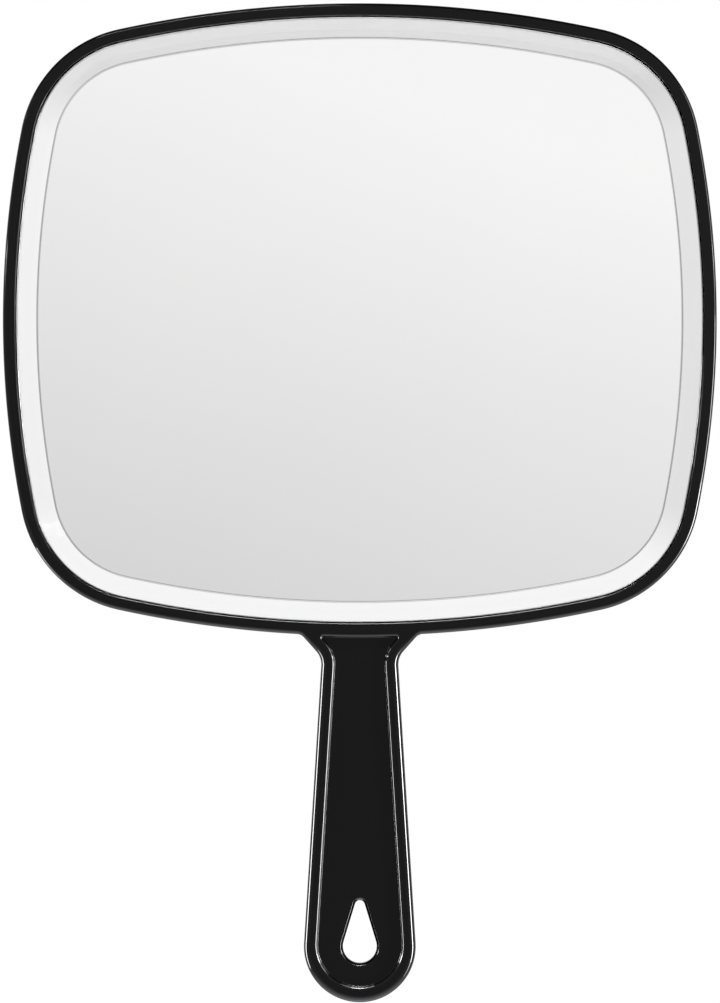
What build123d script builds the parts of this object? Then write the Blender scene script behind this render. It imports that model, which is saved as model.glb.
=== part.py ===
"""Hand mirror for a hair salon: a squared-oval bevelled mirror in a black moulded frame.

The frame, its closed back and the flat paddle handle are one moulding. The mirror pane sits in a tray
in the front of it, on strips of foam tape. Nothing on it moves.

Units are millimetres. +Z runs up the handle to the head, the mirror faces -Y, and +X is to the right
of a person looking into it. The origin is the middle of the grip, halfway through its thickness.
"""

import os
from math import cos, radians, sin, tan

from build123d import *

os.makedirs("parts", exist_ok=True)

# ---- Driving dimensions ----------------------------------------------------------------------

THICKNESS = 9.0  # back plane to front plane, the same for head and handle
HEAD_CENTRE_Z = 158.0  # height of the head's centre above the middle of the grip

# Head: four shallow arcs joined by four tighter corner arcs.
HEAD_HALF_WIDTH = 112.7
HEAD_HALF_HEIGHT = 99.85
HEAD_END_RADIUS = 358.5  # top and bottom arcs
HEAD_SIDE_RADIUS = 309.8  # left and right arcs
HEAD_CORNER_RADIUS = 39.75

# Handle: a taper that widens down to a round tip, and flares out where it meets the head.
TIP_RADIUS = 17.7
TIP_DROP = 197.9  # from the head's centre down to the centre of the tip
TAPER_ANGLE = 3.56  # each side, from vertical
NECK_DROP = 106.7  # from the head's centre down to where the flare starts
NECK_RADIUS = 6.3
FLARE_ANGLE = 41.5  # from vertical
FLARE_HEIGHT = 20.0  # the flare runs on into the head, so its upper end doesn't show
FLARE_RADIUS = 3.2  # where the flare meets the head's outline

EDGE_RADIUS = 1.6  # round along the whole outline, front and back

# Tray for the mirror in the front of the head, and the shallow recess in its back.
RIM_WIDTH = 4.0
RIM_INNER_RADIUS = 0.4
PANEL_THICKNESS = 2.4
BACK_RIM_WIDTH = 6.0
BACK_RECESS = 1.0
BACK_EDGE_RADIUS = 0.5
BACK_ROOT_RADIUS = 0.4

# Recess in the front and the back of the handle, and the teardrop hanging hole.
GRIP_RIM_WIDTH = 4.3
GRIP_RECESS = 2.0
GRIP_TOP_GAP = 0.5  # between the head's outline and the recess's top wall
GRIP_TIP_LIFT = 0.7  # its round end is centred this far above the handle's
GRIP_CORNER_RADIUS = 0.25
GRIP_EDGE_RADIUS = 1.2
GRIP_ROOT_RADIUS = 0.2
HOLE_BIG_RADIUS = 5.33
HOLE_SMALL_RADIUS = 1.58
HOLE_LENGTH = 12.9  # between the centres of its round ends
HOLE_CHAMFER = 0.8
HOLE_CHAMFER_DEPTH = 1.0

# Mirror pane, its coatings and the foam tape under it.
GLASS_THICKNESS = 3.0
GLASS_CLEARANCE = 0.35  # all round, inside the tray
GLASS_SEAM = 0.3  # chamfer along the back edge
BEVEL_WIDTH = 6.5
BEVEL_DEPTH = 1.3
SILVER_THICKNESS = 0.08
PAINT_THICKNESS = 0.12
TAPE_THICKNESS = 1.2
TAPE_WIDTH = 20.0
TAPE_CORNER_RADIUS = 1.0
LONG_TAPE = 120.0
SHORT_TAPE = 90.0
TAPE_TO_CENTRE_X = 86.0  # for the strips at the sides
TAPE_TO_CENTRE_Z = 73.0  # for the strips at the top and bottom

# ---- Planes and levels -----------------------------------------------------------------------

# Every outline is drawn about the head's centre. A level is a distance from the middle plane towards
# the front, so the back plane is the lowest level and the front plane the highest.
FACE = Plane(origin=(0, 0, HEAD_CENTRE_Z), x_dir=(1, 0, 0), z_dir=(0, -1, 0))
FRONT = THICKNESS / 2
BACK = -FRONT
GRIP_FRONT = FRONT - GRIP_RECESS
GRIP_BACK = BACK + GRIP_RECESS
PANEL_BACK = BACK + BACK_RECESS
TRAY_FLOOR = PANEL_BACK + PANEL_THICKNESS
PAINT_BACK = TRAY_FLOOR + TAPE_THICKNESS
SILVER_BACK = PAINT_BACK + PAINT_THICKNESS
GLASS_BACK = SILVER_BACK + SILVER_THICKNESS
LEVEL_TOLERANCE = 0.001


# ---- Outlines --------------------------------------------------------------------------------


def head_face(inset=0.0):
    """The head's outline, moved inwards by inset."""
    end_centre = HEAD_END_RADIUS - HEAD_HALF_HEIGHT
    side_centre = HEAD_SIDE_RADIUS - HEAD_HALF_WIDTH
    with BuildSketch() as face:
        with Locations((0, -end_centre)):
            Circle(HEAD_END_RADIUS - inset)
        with Locations((0, end_centre)):
            Circle(HEAD_END_RADIUS - inset, mode=Mode.INTERSECT)
        for side in (-1, 1):
            with Locations((side * side_centre, 0)):
                Circle(HEAD_SIDE_RADIUS - inset, mode=Mode.INTERSECT)
        fillet(face.vertices(), HEAD_CORNER_RADIUS - inset)
    return face.sketch


def handle_face(inset=0.0, lift=0.0):
    """The handle's outline, moved inwards by inset, from its round tip up through the flare.

    The centre of the round tip is raised by lift, and its radius keeps it tangent to the sides.
    """
    taper = radians(TAPER_ANGLE)
    tip_radius = TIP_RADIUS - lift * sin(taper)
    tip_y = lift - TIP_DROP
    side_x = tip_radius * cos(taper)
    side_y = tip_radius * sin(taper) + tip_y
    neck_x = side_x - (-NECK_DROP - side_y) * tan(taper)
    flare_x = neck_x + FLARE_HEIGHT * tan(radians(FLARE_ANGLE))
    flare_y = FLARE_HEIGHT - NECK_DROP
    with BuildSketch() as face:
        with BuildLine():
            Polyline((side_x, side_y), (neck_x, -NECK_DROP), (flare_x, flare_y))
            Polyline((-side_x, side_y), (-neck_x, -NECK_DROP), (-flare_x, flare_y))
            Line((flare_x, flare_y), (-flare_x, flare_y))
            ThreePointArc((side_x, side_y), (0, tip_y - tip_radius), (-side_x, side_y))
        make_face()
        fillet(face.vertices().group_by(Axis.Y)[-2], NECK_RADIUS)
        if inset:
            offset(amount=-inset)
    return face.sketch


def frame_face():
    """The outline of head and handle together."""
    with BuildSketch() as face:
        add(head_face())
        add(handle_face())
        meeting_points = face.vertices().sort_by(lambda vertex: abs(vertex.Y + HEAD_HALF_HEIGHT))[:2]
        fillet(meeting_points, FLARE_RADIUS)
    return face.sketch


def grip_face():
    """The recess in the handle: a constant way in from its sides, with its top along the head's outline."""
    with BuildSketch() as face:
        add(handle_face(inset=GRIP_RIM_WIDTH, lift=GRIP_TIP_LIFT))
        add(head_face(inset=-GRIP_TOP_GAP), mode=Mode.SUBTRACT)
        fillet(face.vertices().group_by(Axis.Y)[-1], GRIP_CORNER_RADIUS)
    return face.sketch


def hole_face():
    """The teardrop, narrow end up, with its wide end concentric with the handle's tip."""
    with BuildSketch() as face:
        with Locations((0, -TIP_DROP)):
            Circle(HOLE_BIG_RADIUS)
        with Locations((0, HOLE_LENGTH - TIP_DROP)):
            Circle(HOLE_SMALL_RADIUS)
        make_hull()
    return face.sketch


def flat_at(part, level):
    """The part's flat faces at a level, the largest first."""
    flats = part.faces().filter_by(Axis.Y)
    at_level = flats.filter_by_position(Axis.Y, -level - LEVEL_TOLERANCE, -level + LEVEL_TOLERANCE)
    return at_level.sort_by(SortBy.AREA, reverse=True)


# ---- Frame and handle ------------------------------------------------------------------------

with BuildPart() as frame:
    with BuildSketch(FACE.offset(BACK)):
        add(frame_face())
    extrude(amount=THICKNESS)
    fillet(frame.faces().filter_by(Axis.Y).edges(), EDGE_RADIUS)

    # The tray, the recess in the back of the head, and the recess in each side of the handle.
    with BuildSketch(FACE.offset(TRAY_FLOOR)):
        add(head_face(inset=RIM_WIDTH))
    extrude(amount=FRONT - TRAY_FLOOR, mode=Mode.SUBTRACT)
    with BuildSketch(FACE.offset(BACK)):
        add(head_face(inset=BACK_RIM_WIDTH))
    extrude(amount=BACK_RECESS, mode=Mode.SUBTRACT)
    for level in (GRIP_FRONT, BACK):
        with BuildSketch(FACE.offset(level)):
            add(grip_face())
        extrude(amount=GRIP_RECESS, mode=Mode.SUBTRACT)
    with BuildSketch(FACE.offset(BACK)):
        add(hole_face())
    extrude(amount=THICKNESS, mode=Mode.SUBTRACT)

    # Rounds at the root of each recess, and the chamfer around the hole.
    for level in (GRIP_FRONT, GRIP_BACK):
        fillet(flat_at(frame, level)[0].outer_wire().edges(), GRIP_ROOT_RADIUS)
        floor = flat_at(frame, level)[0]
        hole_edges = floor.inner_wires().edges()
        chamfer(hole_edges, length=HOLE_CHAMFER, length2=HOLE_CHAMFER_DEPTH, reference=floor)
    fillet(flat_at(frame, PANEL_BACK)[0].edges(), BACK_ROOT_RADIUS)

    # Rounds where each recess meets the front or the back plane.
    for level, head_radius in ((FRONT, RIM_INNER_RADIUS), (BACK, BACK_EDGE_RADIUS)):
        fillet(flat_at(frame, level)[0].inner_wires().sort_by(SortBy.LENGTH)[-1].edges(), head_radius)
        fillet(flat_at(frame, level)[0].inner_wires().sort_by(SortBy.LENGTH)[0].edges(), GRIP_EDGE_RADIUS)
frame.part.label = "frame_and_handle"
export_step(frame.part, "parts/frame_and_handle.step")

# ---- Mirror pane and its coatings ------------------------------------------------------------

GLASS_INSET = RIM_WIDTH + GLASS_CLEARANCE

with BuildPart() as glass:
    with BuildSketch(FACE.offset(GLASS_BACK)):
        add(head_face(inset=GLASS_INSET))
    extrude(amount=GLASS_THICKNESS)
    front_face = flat_at(glass, GLASS_BACK + GLASS_THICKNESS)[0]
    chamfer(front_face.edges(), length=BEVEL_WIDTH, length2=BEVEL_DEPTH, reference=front_face)
    chamfer(flat_at(glass, GLASS_BACK)[0].edges(), length=GLASS_SEAM)
glass.part.label = "mirror_glass"
export_step(glass.part, "parts/mirror_glass.step")

with BuildPart() as silver:
    with BuildSketch(FACE.offset(SILVER_BACK)):
        add(head_face(inset=GLASS_INSET + GLASS_SEAM))
    extrude(amount=SILVER_THICKNESS)
silver.part.label = "silver_layer"
export_step(silver.part, "parts/silver_layer.step")

with BuildPart() as paint:
    with BuildSketch(FACE.offset(PAINT_BACK)):
        add(head_face(inset=GLASS_INSET + GLASS_SEAM))
    extrude(amount=PAINT_THICKNESS)
paint.part.label = "backing_paint"
export_step(paint.part, "parts/backing_paint.step")

# ---- Foam tape between the pane and the tray's floor -----------------------------------------

# Each strip: centre across and up from the head's centre, then width and height.
TAPE_STRIPS = {
    "foam_tape_top": (0, TAPE_TO_CENTRE_Z, LONG_TAPE, TAPE_WIDTH),
    "foam_tape_centre": (0, 0, LONG_TAPE, TAPE_WIDTH),
    "foam_tape_bottom": (0, -TAPE_TO_CENTRE_Z, LONG_TAPE, TAPE_WIDTH),
    "foam_tape_left": (-TAPE_TO_CENTRE_X, 0, TAPE_WIDTH, SHORT_TAPE),
    "foam_tape_right": (TAPE_TO_CENTRE_X, 0, TAPE_WIDTH, SHORT_TAPE),
}

for name, (across, up, width, height) in TAPE_STRIPS.items():
    with BuildPart() as strip:
        with BuildSketch(FACE.offset(TRAY_FLOOR)):
            with Locations((across, up)):
                RectangleRounded(width, height, TAPE_CORNER_RADIUS)
        extrude(amount=TAPE_THICKNESS)
    strip.part.label = name
    export_step(strip.part, f"parts/{name}.step")
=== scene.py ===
"""Looks of the hand mirror: the black moulding, the bevelled pane and its silver, and a white studio.

Metres, in the CAD frame: +Z up the handle to the head, and the mirror faces -Y. Every outline is
drawn in the plane of the mirror, about the head's centre, as a path of points with their outward
normals, so that the same path moved along its normals gives each ring of a moulded edge.
"""

import math

import bmesh
import bpy
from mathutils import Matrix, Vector


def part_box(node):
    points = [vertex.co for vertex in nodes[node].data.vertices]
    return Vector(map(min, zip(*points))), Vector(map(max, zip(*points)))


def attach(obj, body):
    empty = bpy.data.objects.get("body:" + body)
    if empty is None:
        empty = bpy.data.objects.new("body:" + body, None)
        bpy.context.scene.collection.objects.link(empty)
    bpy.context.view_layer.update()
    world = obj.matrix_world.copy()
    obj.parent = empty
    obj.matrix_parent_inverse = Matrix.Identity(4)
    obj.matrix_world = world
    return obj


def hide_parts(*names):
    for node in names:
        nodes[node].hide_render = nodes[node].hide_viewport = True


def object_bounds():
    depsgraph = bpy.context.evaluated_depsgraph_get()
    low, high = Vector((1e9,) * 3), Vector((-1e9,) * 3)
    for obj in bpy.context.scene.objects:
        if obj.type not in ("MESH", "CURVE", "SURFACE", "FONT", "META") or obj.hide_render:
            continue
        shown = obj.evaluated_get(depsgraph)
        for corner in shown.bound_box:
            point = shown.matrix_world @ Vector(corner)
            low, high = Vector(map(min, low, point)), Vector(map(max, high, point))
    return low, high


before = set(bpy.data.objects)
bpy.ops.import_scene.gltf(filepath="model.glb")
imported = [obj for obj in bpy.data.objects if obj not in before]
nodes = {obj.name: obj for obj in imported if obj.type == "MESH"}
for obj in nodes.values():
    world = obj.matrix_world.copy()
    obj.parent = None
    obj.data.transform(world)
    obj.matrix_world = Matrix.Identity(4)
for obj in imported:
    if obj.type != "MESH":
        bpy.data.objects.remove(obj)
cad_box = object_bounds()

# ---- Sizes -----------------------------------------------------------------------------------

MM = 0.001
RIGHT_ANGLE = math.pi / 2

# The head's outline.
HALF_WIDTH = 112.7 * MM
HALF_HEIGHT = 99.85 * MM
END_RADIUS = 358.5 * MM  # top and bottom arcs
SIDE_RADIUS = 309.8 * MM  # left and right arcs
CORNER_RADIUS = 39.75 * MM

# The handle's outline.
TIP_RADIUS = 17.7 * MM
TIP = Vector((0, -197.9 * MM))
TAPER = math.radians(3.56)
NECK_DROP = 106.7 * MM
NECK_RADIUS = 6.3 * MM
FLARE = math.radians(41.5)
FLARE_RADIUS = 3.2 * MM

# The moulding's edges and recesses.
HEAD_EDGE_RADIUS = 1.4 * MM  # the outline's round is smaller round the head than down the handle
HANDLE_EDGE_RADIUS = 2.2 * MM
PARTING_RIDGE = 0.02 * MM  # how far the parting line stands out, round the middle of the side
RIM_WIDTH = 4.0 * MM
RIM_INNER_RADIUS = 0.4 * MM
TRAY_ROOT_RADIUS = 0.5 * MM
BACK_RIM_WIDTH = 6.0 * MM
BACK_RECESS = 1.0 * MM
BACK_EDGE_RADIUS = 0.5 * MM
BACK_ROOT_RADIUS = 0.4 * MM
GRIP_RIM_WIDTH = 4.3 * MM
GRIP_RECESS = 2.0 * MM
GRIP_TOP_GAP = 0.5 * MM  # between the head's outline and the recess's top wall
GRIP_TIP_LIFT = 0.7 * MM  # its round end is centred this far above the handle's
GRIP_CORNER_RADIUS = 0.25 * MM
GRIP_EDGE_RADIUS = 1.2 * MM
GRIP_ROOT_RADIUS = 0.2 * MM
HOLE_BIG_RADIUS = 5.33 * MM
HOLE_SMALL_RADIUS = 1.58 * MM
HOLE_LENGTH = 12.9 * MM
HOLE_CHAMFER = 0.8 * MM
HOLE_CHAMFER_DEPTH = 1.0 * MM
HOLE_EDGE_RADIUS = 0.5 * MM

# The pane and its silver.
GLASS_CLEARANCE = 0.35 * MM
GLASS_INSET = RIM_WIDTH + GLASS_CLEARANCE
BEVEL_WIDTH = 6.5 * MM
BEVEL_DEPTH = 1.3 * MM
GLASS_SEAM = 0.3 * MM
EDGE_ARRIS = 0.12 * MM  # along the bevel's outer edge
CREASE = 0.24 * MM  # the softened line where the bevel meets the face
SILVER_BITE = 0.03 * MM  # the silver reaches this far into the pane, so that no air is between them

# ---- Places, from the frame ------------------------------------------------------------------

glass_low, glass_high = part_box("mirror_glass")
silver_low, silver_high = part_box("silver_layer")
_, tape_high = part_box("foam_tape_centre")
HEAD_Z = (glass_low.z + glass_high.z) / 2
FRONT_Y = cad_box[0].y
BACK_Y = cad_box[1].y
TRAY_FLOOR_Y = tape_high.y

# ---- Outlines --------------------------------------------------------------------------------


def direction(angle):
    return Vector((math.cos(angle), math.sin(angle)))


def angle_of(vector):
    return math.atan2(vector.y, vector.x)


def arc(centre, radius, start, end, steps, bulge=1):
    """An arc without its last point. bulge is -1 where the outline is hollow."""
    path = []
    for i in range(steps):
        radial = direction(start + (end - start) * i / steps)
        path.append((centre + radius * radial, bulge * radial))
    return path


def line(start, end, steps):
    """A straight run without its last point. The outside is on its right."""
    along = (end - start).normalized()
    outward = Vector((along.y, -along.x))
    return [(start.lerp(end, i / steps), outward) for i in range(steps)]


def closed(right_half):
    """The whole path from its right half, whose first and last points are on the centre line."""
    left_half = [(Vector((-p.x, p.y)), Vector((-n.x, n.y))) for p, n in reversed(right_half[1:-1])]
    return right_half + left_half


def reach_circle(start, along, centre, radius):
    """How far from start, going along, a circle is first met."""
    to_start = start - centre
    half_b = to_start.dot(along)
    return -half_b - math.sqrt(half_b**2 - to_start.length_squared + radius**2)


# Centres of the head's arcs, in the right half.
TOP_CENTRE = Vector((0, HALF_HEIGHT - END_RADIUS))
BOTTOM_CENTRE = -TOP_CENTRE
SIDE_CENTRE = Vector((HALF_WIDTH - SIDE_RADIUS, 0))
to_end = END_RADIUS - CORNER_RADIUS
to_side = SIDE_RADIUS - CORNER_RADIUS
between = TOP_CENTRE - SIDE_CENTRE
swing = math.acos((between.length_squared + to_side**2 - to_end**2) / (2 * between.length * to_side))
SIDE_ANGLE = angle_of(between) + swing
UPPER_CORNER = SIDE_CENTRE + to_side * direction(SIDE_ANGLE)
LOWER_CORNER = Vector((UPPER_CORNER.x, -UPPER_CORNER.y))
END_ANGLE = angle_of(UPPER_CORNER - TOP_CENTRE)


def head_half(start_angle):
    """The head's right half, from an angle on its bottom arc up to the top."""
    path = arc(BOTTOM_CENTRE, END_RADIUS, start_angle, -END_ANGLE, steps=40)
    path += arc(LOWER_CORNER, CORNER_RADIUS, -END_ANGLE, -SIDE_ANGLE, steps=48)
    path += arc(SIDE_CENTRE, SIDE_RADIUS, -SIDE_ANGLE, SIDE_ANGLE, steps=60)
    path += arc(UPPER_CORNER, CORNER_RADIUS, SIDE_ANGLE, END_ANGLE, steps=48)
    path += arc(TOP_CENTRE, END_RADIUS, END_ANGLE, RIGHT_ANGLE, steps=40)
    path.append((TOP_CENTRE + Vector((0, END_RADIUS)), Vector((0, 1))))
    return path


# Corners and tangent points of the handle's right side.
TAPER_NORMAL = direction(TAPER)
FLARE_NORMAL = direction(-FLARE)
side_along = Vector((-TAPER_NORMAL.y, TAPER_NORMAL.x))
flare_along = Vector((-FLARE_NORMAL.y, FLARE_NORMAL.x))
SIDE_START = TIP + TIP_RADIUS * TAPER_NORMAL
neck_corner = SIDE_START + side_along * ((-NECK_DROP - SIDE_START.y) / side_along.y)
neck_tangent = NECK_RADIUS * math.tan((TAPER + FLARE) / 2)
NECK_START = neck_corner - neck_tangent * side_along
NECK_END = neck_corner + neck_tangent * flare_along
NECK_CENTRE = NECK_START + NECK_RADIUS * TAPER_NORMAL


def handle_half(inset, lift=0.0):
    """The handle's right side from the tip to the end of the neck's curve, moved inwards by inset. The
    centre of the round end is raised by lift, and its radius keeps it tangent to the sides."""
    centre = TIP + Vector((0, lift))
    radius = TIP_RADIUS - inset - lift * math.sin(TAPER)
    path = arc(centre, radius, -RIGHT_ANGLE, TAPER, steps=64)
    path += line(centre + radius * TAPER_NORMAL, NECK_START - inset * TAPER_NORMAL, steps=24)
    neck_radius = NECK_RADIUS + inset
    path += arc(NECK_CENTRE, neck_radius, math.pi + TAPER, math.pi - FLARE, steps=20, bulge=-1)
    return path


def frame_path():
    """The outline of head and handle together."""
    lane = NECK_END + FLARE_RADIUS * FLARE_NORMAL
    run = reach_circle(lane, flare_along, BOTTOM_CENTRE, END_RADIUS + FLARE_RADIUS)
    flare_centre = lane + run * flare_along
    to_head = angle_of(BOTTOM_CENTRE - flare_centre)
    path = handle_half(0)
    path += line(NECK_END, flare_centre - FLARE_RADIUS * FLARE_NORMAL, steps=6)
    path += arc(flare_centre, FLARE_RADIUS, math.pi - FLARE, to_head, steps=12, bulge=-1)
    return closed(path + head_half(to_head - math.pi))


def grip_path():
    """The handle's recess: a constant way in from its sides, and closed by the head's outline."""
    start = NECK_END - GRIP_RIM_WIDTH * FLARE_NORMAL
    lane = start - GRIP_CORNER_RADIUS * FLARE_NORMAL
    top_radius = END_RADIUS + GRIP_TOP_GAP
    run = reach_circle(lane, flare_along, BOTTOM_CENTRE, top_radius + GRIP_CORNER_RADIUS)
    corner = lane + run * flare_along
    to_head = angle_of(BOTTOM_CENTRE - corner)
    path = handle_half(GRIP_RIM_WIDTH, GRIP_TIP_LIFT)
    path += line(start, corner + GRIP_CORNER_RADIUS * FLARE_NORMAL, steps=5)
    path += arc(corner, GRIP_CORNER_RADIUS, -FLARE, to_head, steps=14)
    path += arc(BOTTOM_CENTRE, top_radius, to_head - math.pi, -RIGHT_ANGLE, steps=10, bulge=-1)
    path.append((BOTTOM_CENTRE - Vector((0, top_radius)), Vector((0, 1))))
    return closed(path)


def hole_path():
    """The teardrop, narrow end up."""
    lean = math.asin((HOLE_BIG_RADIUS - HOLE_SMALL_RADIUS) / HOLE_LENGTH)
    narrow_end = TIP + Vector((0, HOLE_LENGTH))
    outward = direction(lean)
    path = arc(TIP, HOLE_BIG_RADIUS, -RIGHT_ANGLE, lean, steps=32)
    path += line(TIP + HOLE_BIG_RADIUS * outward, narrow_end + HOLE_SMALL_RADIUS * outward, steps=10)
    path += arc(narrow_end, HOLE_SMALL_RADIUS, lean, RIGHT_ANGLE, steps=14)
    path.append((narrow_end + Vector((0, HOLE_SMALL_RADIUS)), Vector((0, 1))))
    return closed(path)


HEAD_PATH = closed(head_half(-RIGHT_ANGLE))

# ---- Edge profiles ---------------------------------------------------------------------------
# A profile is a list of rings (inset, y, lean): how far the path is moved inwards, how far back the
# ring is, and the surface's lean, which is 0 facing the front, 90 degrees facing along the path's
# outward normal and 180 degrees facing the back. A recess has negative leans: it faces inwards.

ROUND_STEPS = 8


def turn(first, last):
    """The leans of the rings of a round."""
    return [first + (last - first) * i / ROUND_STEPS for i in range(ROUND_STEPS + 1)]


def outer_round(inset, face_y, radii, first, last):
    """A convex edge on the outline, from lean first to lean last, with a radius for each point of the
    path. face_y is the face it runs into."""
    inwards = math.copysign(1, -face_y)
    rings = []
    for lean in turn(first, last):
        insets = [inset + radius * (1 - math.sin(lean)) for radius in radii]
        levels = [face_y + radius * (inwards - math.cos(lean)) for radius in radii]
        rings.append((insets, levels, lean))
    return rings


def recess_profile(face_y, floor_y, edge_radius, root_radius):
    """From the face over a convex edge, down the wall and over a hollow root to the floor."""
    inwards = math.copysign(1, floor_y - face_y)
    rings = []
    for lean in turn(0, RIGHT_ANGLE):
        y = face_y + inwards * edge_radius * (1 - math.cos(lean))
        rings.append((-edge_radius * (1 - math.sin(lean)), y, -lean))
    for lean in turn(RIGHT_ANGLE, 0):
        y = floor_y - inwards * root_radius * (1 - math.cos(lean))
        rings.append((root_radius * (1 - math.sin(lean)), y, -lean))
    if inwards < 0:
        rings = [(inset, y, -math.pi - lean) for inset, y, lean in rings]
    return rings


def hole_profile(floor_y):
    """From the recess's floor over a small round, down a chamfer and over another round to the bore."""
    slope = math.atan2(HOLE_CHAMFER_DEPTH, HOLE_CHAMFER)
    outer_shift = HOLE_EDGE_RADIUS * math.tan(slope / 2)
    inner_shift = HOLE_EDGE_RADIUS * math.tan((RIGHT_ANGLE - slope) / 2)
    outer_centre = (-HOLE_CHAMFER - outer_shift, floor_y + HOLE_EDGE_RADIUS)
    inner_centre = (-HOLE_EDGE_RADIUS, floor_y + HOLE_CHAMFER_DEPTH + inner_shift)
    rings = []
    for (inset, y), first, last in ((outer_centre, 0, slope), (inner_centre, slope, RIGHT_ANGLE)):
        for lean in turn(first, last):
            across = HOLE_EDGE_RADIUS * math.sin(lean)
            forward = HOLE_EDGE_RADIUS * math.cos(lean)
            rings.append((inset + across, y - forward, -lean))
    return rings


# ---- Mesh building ---------------------------------------------------------------------------

DISC_SHARES = (0.9, 0.74, 0.56, 0.38, 0.2, 0.06)  # sizes of the rings that fill a disc


class Shell:
    """A mesh made of rings on the outlines, with exact normals at every vertex."""

    def __init__(self, name):
        self.name = name
        self.bm = bmesh.new()
        self.normals = []

    def ring(self, path, insets, levels, lean):
        """A loop of vertices on the path, moved inwards and back by one amount or one for each."""
        if not isinstance(insets, list):
            insets = [insets] * len(path)
            levels = [levels] * len(path)
        loop = []
        for (point, outward), inset, level in zip(path, insets, levels):
            place = point - inset * outward
            loop.append(self.bm.verts.new((place.x, level, HEAD_Z + place.y)))
            across = outward * math.sin(lean)
            self.normals.append((across.x, -math.cos(lean), across.y))
        return loop

    def bridge(self, loop, next_loop, material=0):
        count = len(loop)
        for i in range(count):
            j = (i + 1) % count
            face = self.bm.faces.new((loop[i], loop[j], next_loop[j], next_loop[i]))
            face.material_index = material

    def band(self, path, profile, marked=None):
        """Rings along a profile, joined. Returns the first and the last. marked is the number of the
        strip that takes the second material."""
        loops = [self.ring(path, *ring) for ring in profile]
        for number in range(len(loops) - 1):
            self.bridge(loops[number], loops[number + 1], 1 if number == marked else 0)
        return loops[0], loops[-1]

    def disc(self, outermost, lean):
        """Fills a loop with rings that shrink to the middle, all facing one way."""
        middle = sum((v.co for v in outermost), Vector()) / len(outermost)
        loop = outermost
        for share in DISC_SHARES:
            inner = []
            for vertex in outermost:
                inner.append(self.bm.verts.new(middle.lerp(vertex.co, share)))
                self.normals.append((0, -math.cos(lean), 0))
            self.bridge(loop, inner)
            loop = inner
        self.bm.faces.new(loop)

    def fill(self, *loops):
        """Fills the flat area between an outer loop and the loops inside it."""
        edges = []
        for loop in loops:
            for i, vertex in enumerate(loop):
                edges.append(self.bm.edges.get((vertex, loop[(i + 1) % len(loop)])))
        bmesh.ops.triangle_fill(self.bm, edges=edges, use_beauty=True)

    def finish(self, materials):
        """The object, smooth, with the exact normals."""
        bmesh.ops.recalc_face_normals(self.bm, faces=self.bm.faces)
        mesh = bpy.data.meshes.new(self.name)
        self.bm.to_mesh(mesh)
        self.bm.free()
        mesh.shade_smooth()
        mesh.normals_split_custom_set_from_vertices(self.normals)
        for material in materials:
            mesh.materials.append(material)
        piece = bpy.data.objects.new(self.name, mesh)
        bpy.context.scene.collection.objects.link(piece)
        return piece


# ---- Materials -------------------------------------------------------------------------------

GLASS_IOR = 1.52

# Heights of the bumps.
ORANGE_PEEL = 0.004 * MM
GRINDING_MARKS = 0.002 * MM
PAINT_GRAIN = 0.02 * MM
FOAM_CELLS = 0.12 * MM

# Scratches and haze on the plastic.
SCRATCH_STRETCH = 0.02  # how far a noise is stretched into a line
SCRATCH_START = 0.74  # the noise above this is a scratch
SCRATCH_FULL = 0.78
SCRATCH_ROUGHNESS = 0.08
HAZE_ROUGHNESS = (0.05, 0.09)

def new_material(name, colour, roughness):
    """A node material with its Principled shader, and the shader."""
    material = bpy.data.materials.new(name)
    material.use_nodes = True
    shader = material.node_tree.nodes["Principled BSDF"]
    shader.inputs["Base Color"].default_value = (*colour, 1)
    shader.inputs["Roughness"].default_value = roughness
    return material, shader


def object_coords(tree, stretch=(1, 1, 1)):
    """The piece's own coordinates, in metres, stretched along its axes."""
    coords = tree.nodes.new("ShaderNodeTexCoord")
    mapping = tree.nodes.new("ShaderNodeMapping")
    mapping.inputs["Scale"].default_value = stretch
    tree.links.new(coords.outputs["Object"], mapping.inputs["Vector"])
    return mapping.outputs["Vector"]


def noise(tree, vector, per_metre, detail=2.0):
    texture = tree.nodes.new("ShaderNodeTexNoise")
    texture.inputs["Scale"].default_value = per_metre
    texture.inputs["Detail"].default_value = detail
    tree.links.new(vector, texture.inputs["Vector"])
    return texture.outputs["Fac"]


def spread_over(tree, value, low, high, start=0.35, end=0.65):
    """Turns a noise value between start and end into a number from low to high."""
    ramp = tree.nodes.new("ShaderNodeMapRange")
    ramp.inputs["From Min"].default_value = start
    ramp.inputs["From Max"].default_value = end
    ramp.inputs["To Min"].default_value = low
    ramp.inputs["To Max"].default_value = high
    tree.links.new(value, ramp.inputs["Value"])
    return ramp.outputs["Result"]


def add_up(tree, first, second):
    node = tree.nodes.new("ShaderNodeMath")
    node.operation = "ADD"
    tree.links.new(first, node.inputs[0])
    tree.links.new(second, node.inputs[1])
    return node.outputs["Value"]


def bump(tree, shader, height, distance):
    node = tree.nodes.new("ShaderNodeBump")
    node.inputs["Distance"].default_value = distance
    tree.links.new(height, node.inputs["Height"])
    tree.links.new(node.outputs["Normal"], shader.inputs["Normal"])


def hairlines(tree, angle, per_metre):
    """Fine straight scratches at an angle in the plane of the mirror: 1 on a scratch, 0 elsewhere."""
    coords = tree.nodes.new("ShaderNodeTexCoord")
    mapping = tree.nodes.new("ShaderNodeMapping")
    mapping.inputs["Rotation"].default_value = (0, angle, 0)
    mapping.inputs["Scale"].default_value = (1, 1, SCRATCH_STRETCH)
    tree.links.new(coords.outputs["Object"], mapping.inputs["Vector"])
    streaks = noise(tree, mapping.outputs["Vector"], per_metre, 1.0)
    return spread_over(tree, streaks, 0, 1, SCRATCH_START, SCRATCH_FULL)


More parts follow.
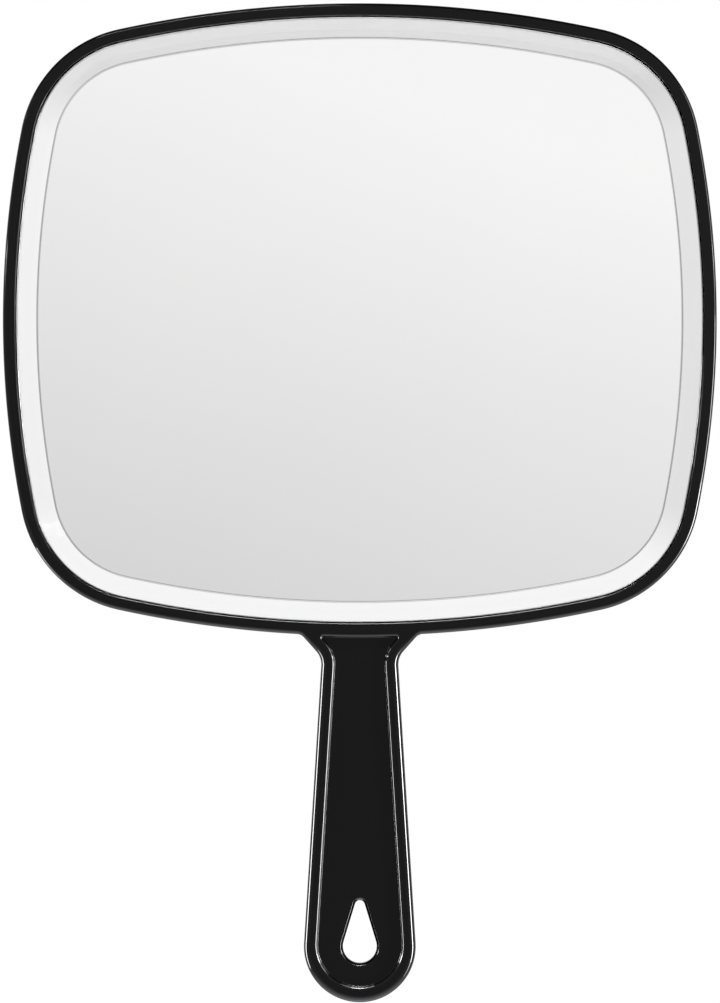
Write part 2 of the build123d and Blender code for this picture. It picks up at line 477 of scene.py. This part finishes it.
def black_plastic():
    """Glossy black moulded plastic: a faint orange peel, hairline scratches and a little handling haze."""
    material, shader = new_material("black_gloss_plastic", (0.0004, 0.0004, 0.00045), 0.07)
    shader.inputs["Specular IOR Level"].default_value = 0.15
    tree = material.node_tree
    vector = object_coords(tree)
    scratches = add_up(tree, hairlines(tree, 0.5, 900), hairlines(tree, -0.9, 1100))
    haze = spread_over(tree, noise(tree, vector, 45, 4.0), *HAZE_ROUGHNESS)
    worn = tree.nodes.new("ShaderNodeMath")
    worn.operation = "MULTIPLY_ADD"
    worn.inputs[1].default_value = SCRATCH_ROUGHNESS
    tree.links.new(scratches, worn.inputs[0])
    tree.links.new(haze, worn.inputs[2])
    tree.links.new(worn.outputs["Value"], shader.inputs["Roughness"])
    bump(tree, shader, noise(tree, vector, 420), ORANGE_PEEL)
    return material


def clear_glass():
    """Polished glass with the faintest wipe marks."""
    material, shader = new_material("clear_glass", (1.0, 1.0, 1.0), 0.0)
    shader.inputs["IOR"].default_value = GLASS_IOR
    shader.inputs["Transmission Weight"].default_value = 1.0
    tree = material.node_tree
    marks = noise(tree, object_coords(tree, (1, 1, 0.35)), 30, 5.0)
    tree.links.new(spread_over(tree, marks, 0.0, 0.012, 0.5, 0.75), shader.inputs["Roughness"])
    return material


def ground_glass_painted_shade():
    """The bevel's crease, left slightly dull by the grinding wheel, with a grey tint that is painted
    shade.
    """
    # The grey base colour is painted shade that darkens the crease; clear glass has no such tint.
    material, shader = new_material("ground_crease_painted_shade", (0.36, 0.37, 0.37), 0.08)
    shader.inputs["IOR"].default_value = GLASS_IOR
    shader.inputs["Transmission Weight"].default_value = 1.0
    tree = material.node_tree
    bump(tree, shader, noise(tree, object_coords(tree), 4000, 3.0), GRINDING_MARKS)
    return material


def silver():
    """Silver under glass, with a barely uneven coat."""
    material, shader = new_material("silver", (0.95, 0.95, 0.95), 0.0)
    shader.inputs["Metallic"].default_value = 1.0
    tree = material.node_tree
    coat = spread_over(tree, noise(tree, object_coords(tree), 12, 3.0), 0.0, 1.0)
    mix = tree.nodes.new("ShaderNodeMix")
    mix.data_type = "RGBA"
    mix.inputs["A"].default_value = (0.945, 0.945, 0.945, 1)
    mix.inputs["B"].default_value = (0.955, 0.955, 0.953, 1)
    tree.links.new(coat, mix.inputs["Factor"])
    tree.links.new(mix.outputs["Result"], shader.inputs["Base Color"])
    return material


def mottled(material, shader, dark, light, per_metre):
    """Colours a material between two shades by a noise."""
    tree = material.node_tree
    mix = tree.nodes.new("ShaderNodeMix")
    mix.data_type = "RGBA"
    mix.inputs["A"].default_value = (*dark, 1)
    mix.inputs["B"].default_value = (*light, 1)
    cloud = spread_over(tree, noise(tree, object_coords(tree), per_metre, 3.0), 0.0, 1.0)
    tree.links.new(cloud, mix.inputs["Factor"])
    tree.links.new(mix.outputs["Result"], shader.inputs["Base Color"])


def backing_paint():
    """Grey mirror-back paint, curtain coated: smooth waves and a fine grain."""
    material, shader = new_material("backing_paint", (0.2, 0.21, 0.21), 0.55)
    mottled(material, shader, (0.18, 0.19, 0.19), (0.23, 0.24, 0.24), 60)
    tree = material.node_tree
    bump(tree, shader, noise(tree, object_coords(tree), 2500), PAINT_GRAIN)
    return material


def foam():
    """White closed-cell foam tape."""
    material, shader = new_material("foam_tape", (0.78, 0.77, 0.73), 0.9)
    mottled(material, shader, (0.7, 0.69, 0.64), (0.82, 0.81, 0.78), 300)
    tree = material.node_tree
    cells = tree.nodes.new("ShaderNodeTexVoronoi")
    cells.inputs["Scale"].default_value = 2600
    tree.links.new(object_coords(tree), cells.inputs["Vector"])
    bump(tree, shader, cells.outputs["Distance"], FOAM_CELLS)
    return material


# ---- The moulding ----------------------------------------------------------------------------


def edge_radius_at(height):
    """The outline's round grows down the flare, from the head's to the handle's."""
    share = (height + HALF_HEIGHT) / (HALF_HEIGHT - NECK_DROP)
    share = min(max(share, 0), 1)
    return HEAD_EDGE_RADIUS + (HANDLE_EDGE_RADIUS - HEAD_EDGE_RADIUS) * share * share * (3 - 2 * share)


def moulding():
    shell = Shell("frame_moulding")
    middle = (FRONT_Y + BACK_Y) / 2
    ridge = [
        (PARTING_RIDGE, middle - 3 * PARTING_RIDGE, RIGHT_ANGLE),
        (0, middle - PARTING_RIDGE, RIGHT_ANGLE),
        (0, middle + PARTING_RIDGE, RIGHT_ANGLE),
        (PARTING_RIDGE, middle + 3 * PARTING_RIDGE, RIGHT_ANGLE),
    ]
    path = frame_path()
    radii = [edge_radius_at(point.y) for point, _ in path]
    outline = outer_round(PARTING_RIDGE, FRONT_Y, radii, 0, RIGHT_ANGLE)
    outline += ridge
    outline += outer_round(PARTING_RIDGE, BACK_Y, radii, RIGHT_ANGLE, math.pi)
    outer_front, outer_back = shell.band(path, outline)

    tray = recess_profile(FRONT_Y, TRAY_FLOOR_Y, RIM_INNER_RADIUS, TRAY_ROOT_RADIUS)
    tray = [(RIM_WIDTH + inset, y, lean) for inset, y, lean in tray]
    tray_edge, tray_floor = shell.band(HEAD_PATH, tray)
    shell.disc(tray_floor, 0)

    back = recess_profile(BACK_Y, BACK_Y - BACK_RECESS, BACK_EDGE_RADIUS, BACK_ROOT_RADIUS)
    back = [(BACK_RIM_WIDTH + inset, y, lean) for inset, y, lean in back]
    back_edge, back_floor = shell.band(HEAD_PATH, back)
    shell.disc(back_floor, math.pi)

    floors = (FRONT_Y + GRIP_RECESS, BACK_Y - GRIP_RECESS)
    grip_edges = []
    grip_floors = []
    for face_y, floor_y in zip((FRONT_Y, BACK_Y), floors):
        grip = recess_profile(face_y, floor_y, GRIP_EDGE_RADIUS, GRIP_ROOT_RADIUS)
        edge, floor = shell.band(grip_path(), grip)
        grip_edges.append(edge)
        grip_floors.append(floor)

    hole = hole_profile(floors[0])
    hole += [(inset, floors[0] + floors[1] - y, -math.pi - lean) for inset, y, lean in reversed(hole)]
    hole_front, hole_back = shell.band(hole_path(), hole)

    shell.fill(outer_front, tray_edge, grip_edges[0])
    shell.fill(outer_back, back_edge, grip_edges[1])
    shell.fill(grip_floors[0], hole_front)
    shell.fill(grip_floors[1], hole_back)
    return shell.finish([black_plastic()])


moulding_piece = moulding()
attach(moulding_piece, "root")
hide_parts("frame_and_handle")

# ---- The pane and its silver -----------------------------------------------------------------


def pane():
    shell = Shell("mirror_pane")
    half_crease = CREASE / 2
    slope = BEVEL_DEPTH / BEVEL_WIDTH
    tilt = math.atan(slope)
    bevel_front = glass_low.y
    bevel_outer = bevel_front + BEVEL_DEPTH
    profile = [
        (GLASS_INSET + BEVEL_WIDTH + half_crease, bevel_front, 0),
        (GLASS_INSET + BEVEL_WIDTH - half_crease, bevel_front + half_crease * slope, tilt),
        (GLASS_INSET + EDGE_ARRIS, bevel_outer - EDGE_ARRIS * slope, tilt),
        (GLASS_INSET, bevel_outer + EDGE_ARRIS, RIGHT_ANGLE),
        (GLASS_INSET, glass_high.y - GLASS_SEAM, RIGHT_ANGLE),
        (GLASS_INSET + GLASS_SEAM, glass_high.y, math.pi),
    ]
    front, back = shell.band(HEAD_PATH, profile, marked=0)
    shell.disc(front, 0)
    shell.disc(back, math.pi)
    return shell.finish([clear_glass(), ground_glass_painted_shade()])


def coat():
    shell = Shell("silver_coat")
    inset = GLASS_INSET + GLASS_SEAM
    front, back = shell.band(
        HEAD_PATH, [(inset, silver_low.y - SILVER_BITE, 0), (inset, silver_high.y, math.pi)]
    )
    shell.disc(front, 0)
    shell.disc(back, math.pi)
    return shell.finish([silver()])


pane_piece = pane()
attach(pane_piece, "root")
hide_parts("mirror_glass")

coat_piece = coat()
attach(coat_piece, "root")
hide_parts("silver_layer")

# ---- CAD nodes that stay ---------------------------------------------------------------------


def dress(node, material):
    for slot in bpy.data.objects[node].material_slots:
        slot.material = material


dress("backing_paint", backing_paint())
foam_material = foam()
for node in nodes:
    if node.startswith("foam_tape"):
        dress(node, foam_material)

# ---- Studio ----------------------------------------------------------------------------------

FLOOR_DROP = 0.6  # the mirror is shown held up, clear of the floor
FLOOR_SIZE = 40.0
NO_GRID = 180  # the spread, in degrees, of an area light without a grid
floor_z = cad_box[0].z - FLOOR_DROP


def stage_plane(name, width, height, location, rotation=(0, 0, 0)):
    """A flat rectangle that isn't part of the object."""
    half_w, half_h = width / 2, height / 2
    mesh = bpy.data.meshes.new(name)
    corners = [(-half_w, -half_h, 0), (half_w, -half_h, 0), (half_w, half_h, 0), (-half_w, half_h, 0)]
    mesh.from_pydata(corners, [], [(0, 1, 2, 3)])
    piece = bpy.data.objects.new(name, mesh)
    bpy.context.scene.collection.objects.link(piece)
    piece.location = location
    piece.rotation_euler = rotation
    return piece


def softbox(name, location, width, height, radiance, target, spread=NO_GRID):
    """An area light of a given brightness, aimed at the target, that the camera doesn't see. A grid
    narrows its spread, in degrees."""
    light = bpy.data.lights.new(name, "AREA")
    light.shape = "RECTANGLE"
    light.size = width
    light.size_y = height
    light.spread = math.radians(spread)
    half = light.spread / 2
    grid_gain = math.tan(half) / (math.tan(half) - half)
    light.energy = radiance * math.pi * width * height / grid_gain
    box = bpy.data.objects.new(name, light)
    bpy.context.scene.collection.objects.link(box)
    box.location = location
    box.rotation_euler = (Vector(target) - Vector(location)).to_track_quat("-Z", "Y").to_euler()
    box.visible_camera = False
    return box


TIP_POINT = (0, FRONT_Y, HEAD_Z + TIP.y)
TIP_BOX_DISTANCE = 0.9
floor = stage_plane("floor", FLOOR_SIZE, FLOOR_SIZE, (0, 0, floor_z))
floor_material, floor_shader = new_material("pale_floor", (0.05, 0.05, 0.05), 0.9)
floor_shader.inputs["Specular IOR Level"].default_value = 0.0
floor_shader.inputs["Emission Color"].default_value = (1, 1, 1, 1)
floor_shader.inputs["Emission Strength"].default_value = 0.97
floor.data.materials.append(floor_material)

world = bpy.data.worlds.new("studio")
bpy.context.scene.world = world
world.use_nodes = True
world.node_tree.nodes["Background"].inputs["Color"].default_value = (1, 1, 1, 1)
world.node_tree.nodes["Background"].inputs["Strength"].default_value = 1.0

# Strips close to the handle light its long edges. Weaker ones further off light the head's right side.
# Each: place, width, height, radiance, spread. All are level with the point that they are aimed at.
STRIPS = {
    "right_neck_strip": ((0.31, -0.115, 0.043), 0.065, 0.065, 125, 84),
    "right_tip_strip": ((0.31, -0.115, -0.135), 0.065, 0.29, 90, 84),
    "left_strip": ((-0.3, -0.024, -0.06), 0.065, 0.27, 100, 100),
    "right_strip": ((1.5, -0.53, -0.21), 0.3, 0.84, 75, NO_GRID),
    "right_upper_strip": ((1.5, -0.53, 0.71), 0.3, 1.0, 22, NO_GRID),
}
for name, (place, width, height, radiance, spread) in STRIPS.items():
    softbox(name, place, width, height, radiance, (0, 0, place[2]), spread)

# Gridded boxes to the right and left of the tip, a little above it and aimed at it: they light the
# recess's round end. Each: angle round the tip, from the right, and radiance.
TIP_BOX_SIZE = 0.2
TIP_BOX_SPREAD = 20
TIP_BOX_OFF_AXIS = math.radians(74)  # from straight in front of the tip
TIP_BOXES = ((14, 230), (28, 50), (166, 270), (152, 40))
aside = TIP_BOX_DISTANCE * math.sin(TIP_BOX_OFF_AXIS)
ahead = TIP_BOX_DISTANCE * math.cos(TIP_BOX_OFF_AXIS)
for angle, radiance in TIP_BOXES:
    place = aside * direction(math.radians(angle))
    position = (place.x, -ahead, TIP_POINT[2] + place.y)
    softbox(f"tip_box_{angle}", position, TIP_BOX_SIZE, TIP_BOX_SIZE, radiance, TIP_POINT, TIP_BOX_SPREAD)

# The box high above the tip is three in one place, brightest in the middle. Each: width, radiance.
TOP_BOX_PLACE = (0.04, -0.25, 0.72)
TOP_BOX_HEIGHT = 0.16
TOP_BOXES = ((0.24, 260), (0.4, 110), (0.66, 50))
for width, radiance in TOP_BOXES:
    softbox(f"top_box_{round(width / MM)}", TOP_BOX_PLACE, width, TOP_BOX_HEIGHT, radiance, TIP_POINT)


def flag(name, width, height, location, cloth, grey):
    """A matt cloth that keeps a light off part of the mirror, and that the camera doesn't see."""
    piece = stage_plane(name, width, height, location)
    piece.visible_camera = False
    material, shader = new_material(cloth, (grey, grey, grey), 1.0)
    shader.inputs["Specular IOR Level"].default_value = 0.0
    piece.data.materials.append(material)


# The first keeps the top boxes off the top of the head, and the second keeps the left strip off the
# head's lower corner.
flag("flag", 1.0, 0.46, (0, 0.082, 0.45), "dark_cloth", 0.05)
flag("corner_flag", 0.17, 0.2, (-0.2, 0, 0.079), "grey_cloth", 0.18)

# A wide dim light from below, as from a lit table top.
UNDER_BOX_LIFT = 0.01  # above the floor
under_place = (0, -0.6, floor_z + UNDER_BOX_LIFT)
softbox("under_box", under_place, 3.6, 1.8, 5.0, (0, -0.6, 0), spread=128)

# The panel behind the camera, which is what the mirror shows. It brightens up and to the right.
PANEL_Y = -3.6
PANEL_SIZE = 3.0
PANEL_TILT = 0.34  # how much of the brightening goes across
PANEL_DIM = (-0.28, 0.668)  # height from the panel's centre, and the glow there
PANEL_BRIGHT = (0.34, 0.96)


def panel_glow():
    material = bpy.data.materials.new("panel_glow")
    material.use_nodes = True
    tree = material.node_tree
    tree.nodes.clear()
    output = tree.nodes.new("ShaderNodeOutputMaterial")
    glow = tree.nodes.new("ShaderNodeEmission")
    coords = tree.nodes.new("ShaderNodeTexCoord")
    height = tree.nodes.new("ShaderNodeVectorMath")
    height.operation = "DOT_PRODUCT"
    height.inputs[1].default_value = (PANEL_TILT, -1.0, 0)
    ramp = tree.nodes.new("ShaderNodeMapRange")
    ramp.inputs["From Min"].default_value = PANEL_DIM[0]
    ramp.inputs["To Min"].default_value = PANEL_DIM[1]
    ramp.inputs["From Max"].default_value = PANEL_BRIGHT[0]
    ramp.inputs["To Max"].default_value = PANEL_BRIGHT[1]
    tree.links.new(coords.outputs["Object"], height.inputs[0])
    tree.links.new(height.outputs["Value"], ramp.inputs["Value"])
    tree.links.new(ramp.outputs["Result"], glow.inputs["Strength"])
    tree.links.new(glow.outputs["Emission"], output.inputs["Surface"])
    return material


panel = stage_plane("back_panel", PANEL_SIZE, PANEL_SIZE, (0, PANEL_Y, HEAD_Z), (-RIGHT_ANGLE, 0, 0))
panel.visible_camera = False
panel.data.materials.append(panel_glow())

# ---- Camera ----------------------------------------------------------------------------------

LENS = 200.0
SENSOR = 36.0  # along the picture's height, its longer side
CLIP_END = 100.0
VIEW_HEIGHT = 316.33 * MM  # what the picture's height covers at the mirror's front
VIEW_CENTRE = Vector((0.06 * MM, 100.57 * MM))

camera_data = bpy.data.cameras.new("camera")
camera_data.lens = LENS
camera_data.sensor_width = SENSOR
camera = bpy.data.objects.new("camera", camera_data)
bpy.context.scene.collection.objects.link(camera)
distance = VIEW_HEIGHT * LENS / SENSOR
camera.location = (VIEW_CENTRE.x, FRONT_Y - distance, VIEW_CENTRE.y)
camera.rotation_euler = (RIGHT_ANGLE, 0, 0)
camera_data.clip_end = CLIP_END
bpy.context.scene.camera = camera
bpy.context.scene.view_settings.view_transform = "Standard"
